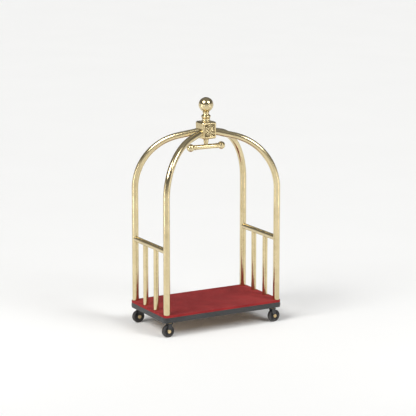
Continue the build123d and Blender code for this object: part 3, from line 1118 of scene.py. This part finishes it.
@dataclass
class Hub(Assembly):
    """The cast hub where the four arches meet, with a rosette on each long side."""

    chamfer: float = 0.011
    soft_edge: float = 0.0016
    panel_margin: float = 0.006
    panel_depth: float = 0.0018
    screw_hole_radius: float = 0.00405
    rim: float = 0.0045
    plate: float = 0.0028
    petals: int = 8
    petal_rise: float = 0.0026
    petal_width: float = 0.44
    leaf_width: float = 0.34
    vein_rise: float = 0.0035
    vein_share: float = 0.16
    boss_radius: float = 0.0085
    field_start: float = 0.0105
    field_end: float = 0.0434
    field_facing: float = 0.93

    def build(self) -> None:
        """Make the casting and its rosettes, paint shade into its recessed panels and the rosettes'
        field, and dress what shows below them.
        """
        painted_shade = self.finishes.of(RECESS_SHADE)
        casting = self.make_casting()
        self.fit(casting, "cart", CAST_BRASS, "plated_casting", ["hub_block"])
        face = Extent.of("hub_block").high.y
        floor = face - self.panel_depth
        # Painted shade: the floors of the recessed panels take the dark brass.
        dress_some(
            casting,
            painted_shade,
            lambda centre, normal: abs(normal.y) > FACING and abs(abs(centre.y) - floor) < FACE_GAP,
        )
        rosettes = self.make_rosettes()
        self.fit(rosettes, "cart", TURNED_BRASS, "brass", ["hub_rosettes"])
        middle = Extent.of("hub_rosettes").centre.z
        reach = face + self.plate * 0.8
        # Painted shade: the flat field between the petals takes the dark brass.
        dress_some(
            rosettes,
            painted_shade,
            lambda centre, normal: abs(normal.y) > self.field_facing
            and abs(centre.y) < reach
            and self.field_start < hypot(centre.x, centre.z - middle) < self.field_end,
        )
        self.dress_nodes(["hub_spigots", "hub_grub_screws", "tie_rod"], ZINC)

    def make_casting(self) -> Piece:
        """Make the chamfered block with softened edges and its four screw holes below.

        Returns:
            The casting.
        """
        box = Extent.of("hub_block")
        place = Matrix.Translation(box.centre) @ Matrix.Diagonal((*box.size, 1))
        block = primitive("cube", "hub_casting", place, size=1)
        with edit_mode(block):
            bpy.ops.mesh.bevel(offset=self.chamfer, segments=1, affect="EDGES", offset_type="OFFSET")
        for side in (-1, 1):
            select_faces(block, lambda centre, normal: normal.y * side > 0.99)
            with edit_mode(block, everything=False):
                bpy.ops.mesh.inset(thickness=self.panel_margin, depth=0)
                bpy.ops.mesh.inset(thickness=self.panel_depth / 2, depth=-self.panel_depth)
        with edit_mode(block):
            bpy.ops.mesh.bevel(offset=self.soft_edge, segments=3, affect="EDGES", offset_type="OFFSET")
        cut(block, self.make_screw_cutters(), "DIFFERENCE", "EXACT")
        clean(block, 25.0)
        return block

    def make_screw_cutters(self) -> Piece:
        """Make four plugs in the places of the grub screws, for cutting their holes.

        Returns:
            The plugs, joined.
        """
        screws = Extent.of("hub_grub_screws")
        foot = Extent.of("hub_block").low.z
        radius = self.screw_hole_radius
        reach_x, reach_y = screws.high.x - radius, screws.high.y - radius
        plugs = [
            primitive(
                "cylinder",
                "screw_cutters",
                Matrix.Translation((side_x * reach_x, side_y * reach_y, foot)),
                vertices=32,
                radius=radius,
                depth=2 * (screws.high.z - foot),
            )
            for side_x in (-1, 1)
            for side_y in (-1, 1)
        ]
        return join(plugs, "screw_cutters")

    def make_rosettes(self) -> Piece:
        """Turn and carve one rosette and copy it to the other side.

        Returns:
            Both rosettes as one piece.
        """
        box = Extent.of("hub_rosettes")
        radius = box.size.x / 2
        field_radius = radius - self.rim
        profile = [
            (0.0, 0.0),
            (radius, 0.0),
            (radius, self.plate * 0.6),
            *arc_points((radius - self.rim / 2, self.plate), self.rim / 2, 0, 180, 10),
            (field_radius - 0.0008, self.plate * 0.55),
            (field_radius * 0.6, self.plate * 0.75),
            (self.boss_radius + 0.0022, self.plate * 0.75),
            *arc_points((self.boss_radius + 0.001, self.plate * 0.75), 0.0012, 0, 160, 6),
            (self.boss_radius - 0.0006, self.plate * 0.8),
            (self.boss_radius * 0.8, self.plate + 0.0018),
            (self.boss_radius * 0.45, self.plate + 0.0030),
            (0.0, self.plate + 0.0034),
        ]
        dish = turn("rosette_dish", profile, Vector())
        petal = self.make_petal(self.boss_radius + 0.0015, field_radius - 0.0012, self.petal_width)
        middle = (self.boss_radius + field_radius) / 2
        leaf = self.make_petal(middle, field_radius - 0.0006, self.leaf_width)
        parts = [dish]
        for n in range(self.petals):
            for blank, step in ((petal, n), (leaf, n + 0.5)):
                turned = Matrix.Rotation(2 * pi * step / self.petals, 4, "Z")
                parts.append(copy_of(blank, "petal", turned))
        bpy.data.objects.remove(petal)
        bpy.data.objects.remove(leaf)
        front = join(parts, "hub_rosettes_carved")
        clean(front, 40.0)
        seat = Matrix.Translation((0, Extent.of("hub_block").high.y, box.centre.z))
        front.matrix_world = seat @ TURNS[Turning.ALONG_Y]
        settle(front)
        rear = copy_of(front, "rosette_rear", Matrix.Rotation(pi, 4, "Z"))
        return join([front, rear], "hub_rosettes_carved")

    def make_petal(self, start: float, end: float, width_share: float) -> Piece:
        """Make a pointed petal with a raised vein, lying along X.

        Args:
            start: where its foot is, from the rosette's centre.
            end: where its point is.
            width_share: its greatest width as a share of its length.

        Returns:
            The petal.
        """
        length = end - start
        width = width_share * length
        shapes = []
        for share, rise in ((1.0, self.petal_rise), (self.vein_share, self.vein_rise)):
            place = (
                Matrix.Translation(((start + end) / 2, 0, self.plate * 0.7))
                @ Matrix.Rotation(pi / 2, 4, "Y")
                @ Matrix.Rotation(pi / 2, 4, "Z")
                @ Matrix.Diagonal((width * share, rise * 2, length, 1))
            )
            lobe = primitive("uv_sphere", "lobe", place, segments=20, ring_count=12, radius=0.5)
            shapes.append(lobe)
        petal = join(shapes, "petal_blank")
        for point in petal.data.vertices:
            along = (point.co.x - start) / length
            point.co.y *= 0.55 + 0.9 * along if along < 0.5 else 1.0 - 0.55 * (2 * along - 1) ** 2
        return petal


@dataclass
class Finial(Assembly):
    """The ball on top and the turned neck that it stands on."""

    seam: float = 0.0005
    seam_height: float = 0.0009
    foot_radius: float = 0.037
    waist_radius: float = 0.033
    bead_radius: float = 0.0395

    def build(self) -> None:
        """Turn the neck and the ball."""
        self.fit(self.make_neck(), "cart", TURNED_BRASS, "brass", ["finial_neck"])
        self.fit(self.make_ball(), "cart", TURNED_BRASS, "brass", ["finial_ball"])

    def make_ball(self) -> Piece:
        """Turn the hollow ball's outside, two spun halves with a fine seam between them.

        Returns:
            The ball.
        """
        box = Extent.of("finial_ball")
        radius = box.size.x / 2
        half = degrees(asin(self.seam_height / radius))
        profile = [
            *arc_points((0, 0), radius, -90, -half, 30),
            (radius - self.seam, 0),
            *arc_points((0, 0), radius, half, 90, 30),
        ]
        return turn("finial_ball_spun", profile, box.centre, segments=128)

    def make_neck(self) -> Piece:
        """Turn the neck: a stepped foot, a cove, a bead, and a collar under the ball.

        Returns:
            The neck.
        """
        base = Extent.of("finial_neck").low.z
        seat = Extent.of("finial_ball").low.z - base
        foot, waist, bead = self.foot_radius, self.waist_radius, self.bead_radius
        profile = [
            (0.0, 0.0),
            (foot, 0.0),
            *arc_points((foot - 0.0018, 0.0052), 0.0018, 0, 90, 5),
            (waist + 0.0030, 0.0072),
            *arc_points((waist + 0.0042, 0.0122), 0.0042, 250, 180, 8),
            (waist, 0.0216),
            (waist + 0.0014, 0.0232),
            (waist + 0.0026, 0.0238),
            (waist + 0.0030, 0.0256),
            (waist + 0.0018, 0.0268),
            *arc_points((bead - 0.0132, 0.0400), 0.0132, -66, 66, 18),
            (0.0288, 0.0532),
            (0.0294, 0.0548),
            (0.0284, 0.0564),
            *arc_points((0.0300, 0.0606), 0.0046, 235, 180, 6),
            (0.0252, seat - 0.0040),
            *arc_points((0.0252, seat + 0.0006), 0.0038, -80, 60, 10),
            (0.0250, seat + 0.0060),
            (0.0, seat + 0.0060),
        ]
        return turn("finial_neck_turned", profile, Vector((0, 0, base)))


@dataclass
class Hanger(Assembly):
    """The short bar below the hub that garment hangers hook over."""

    groove: float = 0.0012

    def build(self) -> None:
        """Turn the stem, the bar and its two balls."""
        self.fit(self.make_stem(), "cart", TURNED_BRASS, "brass", ["hanger_stem"])
        self.fit(self.make_bar(), "cart", RAIL_BRASS, "brass", ["hanger_bar"])
        for end in ENDS:
            self.fit(self.make_stop_ball(end), "cart", TURNED_BRASS, "brass", [f"hanger_ball_{end}"])

    def make_stem(self) -> Piece:
        """Turn the tapered stem with a rounded collar under the hub.

        Returns:
            The stem.
        """
        box = Extent.of("hanger_stem")
        centre = Extent.of("hanger_bar").centre.z
        top = box.high.z - centre
        collar = box.size.x / 2
        profile = [
            (0.0, 0.004),
            (0.0160, 0.004),
            (0.0160, 0.0186),
            (0.0182, 0.0200),
            (0.0178, 0.0224),
            (0.0172, 0.0236),
            (0.0224, top - 0.0100),
            *arc_points((collar - 0.0042, top - 0.0048), 0.0042, -90, 90, 12),
            (collar - 0.0060, top),
            (0.0, top),
        ]
        return turn("hanger_stem_turned", profile, Vector((0, 0, centre)))

    def make_bar(self) -> Piece:
        """Turn the bar with a shallow groove and a collar next to each ball.

        Returns:
            The bar.
        """
        box = Extent.of("hanger_bar")
        radius = box.size.z / 2
        half = box.high.x
        right = [
            (radius, half - 0.0260),
            (radius - self.groove, half - 0.0250),
            (radius - self.groove, half - 0.0225),
            (radius, half - 0.0215),
            (radius + 0.0020, half - 0.0190),
            (radius + 0.0026, half - 0.0160),
            (radius + 0.0020, half - 0.0130),
            (radius, half - 0.0105),
            (radius, half),
        ]
        profile = [(0.0, -half), *mirrored(right), *right, (0.0, half)]
        return turn("hanger_bar_turned", profile, box.centre, Turning.ALONG_X)

    def make_stop_ball(self, end: str) -> Piece:
        """Turn one stop ball, with a small flat button on its outer side.

        Args:
            end: left or right.

        Returns:
            The ball.
        """
        box = Extent.of(f"hanger_ball_{end}")
        radius = box.size.z / 2
        ball_x = box.high.x - radius if end == "right" else box.low.x + radius
        centre = Vector((ball_x, 0, box.centre.z))
        profile = arc_points((0, 0), radius, -90, 78, 40)
        for button_radius, rise in ((0.0055, 0.982), (0.0050, 0.992), (0.0030, 0.999), (0.0, 1.0)):
            profile.append((button_radius, radius * rise))
        if end == "left":
            profile = mirrored(profile)
        return turn(f"hanger_stop_ball_{end}", profile, centre, Turning.ALONG_X, segments=64)


@dataclass
class Casters(Assembly):
    """Four swivel casters: brass race and axle caps, black fork, nylon wheel, rubber tyre."""

    shoulder: float = 0.007
    tread_groove: float = 0.0011
    bore_radius: float = 0.0051
    rim_half_width: float = 0.0145
    ribs: int = 8
    rib_start: float = 0.0120
    rib_thickness: float = 0.0030
    rib_width: float = 0.0220
    fork_edge: float = 0.0009
    race_bore_radius: float = 0.0082

    def build(self) -> None:
        """Build and dress each caster."""
        for corner in CORNERS:
            fork_body, wheel_body = f"caster_{corner}", f"wheel_{corner}"
            for piece, body, finish, slot, node in (
                (self.make_tyre(corner), wheel_body, TYRE_RUBBER, "tyre_rubber", "tyre"),
                (self.make_core(corner), wheel_body, WHEEL_NYLON, "wheel_nylon", "wheel_core"),
                (self.make_fork(corner), fork_body, POWDER_COAT, "frame_steel", "fork"),
                (self.make_race(corner), fork_body, CASTER_BRASS, "caster_brass", "race"),
            ):
                self.fit(piece, body, finish, slot, [f"caster_{node}_{corner}"])
            self.dress_nodes([f"caster_axle_{corner}"], CASTER_BRASS)
            self.dress_nodes([f"caster_stem_{corner}"], ZINC)
        self.dress_nodes(["kingpin_nuts"], ZINC)

    def make_tyre(self, corner: str) -> Piece:
        """Turn a tyre with round shoulders, two tread grooves and ribbed side walls.

        Args:
            corner: the caster's corner.

        Returns:
            The tyre.
        """
        box = Extent.of(f"caster_tyre_{corner}")
        outer = box.size.z / 2
        half = box.size.y / 2
        inner = Extent.of(f"caster_wheel_core_{corner}").size.z / 2
        shoulder = self.shoulder
        right = [
            (outer, 0.0050),
            (outer - self.tread_groove, 0.0056),
            (outer - self.tread_groove, 0.0068),
            (outer, 0.0074),
            *arc_points((outer - shoulder, half - shoulder), shoulder, 0, 90, 8),
            (outer - shoulder - 0.0008, half - 0.0007),
            (outer - shoulder - 0.0016, half - 0.0007),
            (outer - shoulder - 0.0022, half),
            (inner + 0.0008, half),
            (inner, half - 0.0012),
        ]
        left = mirrored(right)
        return turn(f"tyre_{corner}", [*left, *right, left[0]], box.centre, Turning.ALONG_Y)

    def make_core(self, corner: str) -> Piece:
        """Turn a wheel core and set its ribs between hub and rim.

        Args:
            corner: the caster's corner.

        Returns:
            The wheel core.
        """
        box = Extent.of(f"caster_wheel_core_{corner}")
        centre = Extent.of(f"caster_tyre_{corner}").centre
        rim = box.size.z / 2
        hub_half = box.size.y / 2
        bore = self.bore_radius
        rim_half = self.rim_half_width
        right = [
            (rim - 0.0006, 0.0),
            (rim - 0.0006, rim_half - 0.0010),
            (rim - 0.0016, rim_half),
            (rim - 0.0034, rim_half),
            (rim - 0.0044, rim_half - 0.0010),
            (rim - 0.0056, 0.0062),
            (rim - 0.0080, 0.0042),
            (0.0170, 0.0042),
            (0.0142, 0.0062),
            (0.0130, 0.0090),
            (0.0124, hub_half - 0.0012),
            (0.0114, hub_half),
            (bore + 0.0008, hub_half),
            (bore, hub_half - 0.0008),
        ]
        left = mirrored(right)
        parts = [turn("core_blank", [*left, *right[1:], left[0]], centre, Turning.ALONG_Y)]
        span = rim - 0.0040 - self.rib_start
        for n in range(self.ribs):
            place = (
                Matrix.Translation(centre)
                @ Matrix.Rotation(2 * pi * (n + 0.5) / self.ribs, 4, "Y")
                @ Matrix.Translation((self.rib_start + span / 2, 0, 0))
                @ Matrix.Diagonal((span, self.rib_width, self.rib_thickness, 1))
            )
            rib = primitive("cube", "rib", place, size=1)
            bevel(rib, 0.0007, 2)
            parts.append(rib)
        joined = join(parts, f"wheel_core_{corner}")
        clean(joined, 30.0)
        return joined

    def make_fork(self, corner: str) -> Piece:
        """Copy a fork and soften its cut edges.

        Args:
            corner: the caster's corner.

        Returns:
            The fork.
        """
        fork = merged_copy(self.nodes[f"caster_fork_{corner}"], f"fork_{corner}")
        bevel(fork, self.fork_edge, 2, 50.0)
        clean(fork, 35.0)
        return fork

    def make_race(self, corner: str) -> Piece:
        """Turn the two pressed raceways of a swivel as one ring with a dark gap.

        Args:
            corner: the caster's corner.

        Returns:
            The race.
        """
        box = Extent.of(f"caster_race_{corner}")
        radius = box.size.x / 2
        height = box.size.z
        inner = self.race_bore_radius
        profile = [
            (inner, 0.0),
            (radius - 0.0030, 0.0),
            *arc_points((radius - 0.0022, 0.0024), 0.0022, -80, 70, 7),
            (radius - 0.0030, height * 0.44),
            (radius - 0.0030, height * 0.56),
            *arc_points((radius - 0.0022, height - 0.0024), 0.0022, -70, 80, 7),
            (radius - 0.0030, height),
            (inner, height),
            (inner, 0.0),
        ]
        foot = box.centre - Vector((0, 0, height / 2))
        return turn(f"swivel_race_{corner}", profile, foot, segments=64)


# ---- Studio ----------------------------------------------------------------


@dataclass(frozen=True)
class Softbox:
    """A softbox near the cart, aimed at its middle."""

    name: str
    azimuth: float
    width: float
    power: float
    height: float = 1.9
    elevation: float = 4.0
    distance: float = 3.4
    colour: Colour = (1.0, 0.985, 0.96)
    aim_height: float = 0.9

    def hang(self) -> None:
        """Make the light and turn it to the cart."""
        light = bpy.data.lights.new(self.name, "AREA")
        light.shape = "RECTANGLE"
        light.size = self.width
        light.size_y = self.height
        light.energy = self.power
        light.color = self.colour
        hang_light(light, self.azimuth, self.elevation, self.distance, self.aim_height)


@dataclass(frozen=True)
class FarLight:
    """A broad light far away, which lights the whole floor evenly."""

    name: str
    azimuth: float
    elevation: float
    spread: float
    strength: float
    colour: Colour = (1.0, 0.99, 0.97)

    def hang(self) -> None:
        """Make the light and turn it to the cart."""
        light = bpy.data.lights.new(self.name, "SUN")
        light.angle = radians(self.spread)
        light.energy = self.strength
        light.color = self.colour
        hang_light(light, self.azimuth, self.elevation, 10.0, 0.0)


def hang_light(
    light: bpy.types.Light, azimuth: float, elevation: float, distance: float, aim_height: float
) -> None:
    """Hang a light round the cart, unseen by the camera, and turn it to the cart.

    Args:
        light: the light's data.
        azimuth: its direction round the cart.
        elevation: its direction above the floor.
        distance: how far from the aim it hangs.
        aim_height: the height on the cart's axis that it points at.
    """
    lamp = bpy.data.objects.new(light.name, light)
    lamp.visible_camera = False
    bpy.context.scene.collection.objects.link(lamp)
    aim = Vector((0, 0, aim_height))
    lamp.location = aim + distance * direction(azimuth, elevation)
    lamp.rotation_euler = (aim - lamp.location).to_track_quat("-Z", "Y").to_euler()


def direction(azimuth: float, elevation: float) -> Vector:
    """Point from the cart outwards, with azimuth 0 in front and elevation above the floor."""
    around, up = radians(azimuth), radians(elevation)
    return Vector((sin(around) * cos(up), -cos(around) * cos(up), sin(up)))


@dataclass
class Studio:
    """A pale floor, soft lights, a gentle sky and the camera."""

    azimuth: float = -29.272
    elevation: float = 11.841
    distance: float = 15.4
    aim_height: float = 0.989
    lens: float = 162.14
    sensor: float = 36.0
    shift: tuple[float, float] = (0.0049, -0.0064)
    floor_size: float = 60.0
    sky_span: Point = (-0.1, 0.9)
    sky_greys: tuple[Point, ...] = ((0.0, 0.80), (0.14, 0.75), (0.26, 0.30), (0.5, 0.14), (1.0, 0.30))
    lights: tuple[FarLight | Softbox, ...] = (
        FarLight("key_light", -72.0, 44.0, 30.0, 2.4),
        FarLight("fill_light", 24.0, 40.0, 26.0, 1.45, (0.97, 0.985, 1.0)),
        Softbox("left_strip", -96.0, 0.35, 12.0),
        Softbox("right_strip", 34.0, 0.22, 7.0),
    )

    def build(self) -> None:
        """Set up everything around the cart."""
        self.lay_floor()
        for light in self.lights:
            light.hang()
        self.paint_sky()
        self.place_camera()
        bpy.context.scene.view_settings.view_transform = "Standard"

    def lay_floor(self) -> None:
        """Lay the pale floor."""
        floor = primitive("plane", "studio_floor", size=self.floor_size)
        bench = MaterialBench("pale_floor")
        cloud = bench.node("TexNoise", Vector=bench.place, Scale=0.8, Detail=2.0).outputs["Fac"]
        surface = bench.shader.inputs
        bench.feed(surface["Base Color"], bench.mix(cloud, (0.92, 0.92, 0.912), (0.945, 0.945, 0.937)))
        surface["Roughness"].default_value = 0.55
        surface["Specular IOR Level"].default_value = 0.2
        dress(floor, bench.material)

    def paint_sky(self) -> None:
        """Shade the surroundings, pale round the horizon and dark overhead, as brass needs."""
        world = bpy.data.worlds.new("studio_sky")
        bpy.context.scene.world = world
        world.use_nodes = True
        sky = Wiring()
        sky.tree = world.node_tree
        place = sky.node("TexCoord").outputs["Generated"]
        height = sky.node("SeparateXYZ", place).outputs["Z"]
        shades = sky.node("ValToRGB", sky.clip(height, *self.sky_span))
        elements = shades.color_ramp.elements
        while len(elements) < len(self.sky_greys):
            elements.new(0.5)
        for element, (at, grey) in zip(elements, self.sky_greys):
            element.position = at
            element.color = (grey, grey, grey * 1.01, 1)
        sky.feed(sky.tree.nodes["Background"].inputs["Color"], shades.outputs["Color"])

    def place_camera(self) -> None:
        """Place the camera on its line to the cart."""
        data = bpy.data.cameras.new("camera")
        data.lens = self.lens
        data.sensor_width = self.sensor
        data.shift_x, data.shift_y = self.shift
        data.clip_end = 200.0
        camera = bpy.data.objects.new("camera", data)
        bpy.context.scene.collection.objects.link(camera)
        aim = Vector((0, 0, self.aim_height))
        camera.location = aim + self.distance * direction(self.azimuth, self.elevation)
        camera.rotation_euler = (aim - camera.location).to_track_quat("-Z", "Y").to_euler()
        bpy.context.scene.camera = camera


def main() -> None:
    """Build the cart's looks around its frame."""
    logging.basicConfig(level=logging.INFO, format="%(name)s: %(message)s")
    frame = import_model()
    finishes = Finishes(SharedEffects.build())
    for assembly in (Deck, Cage, Hub, Finial, Hanger, Casters):
        assembly(frame["nodes"], finishes).build()
    Studio().build()


if __name__ == "__main__":
    main()
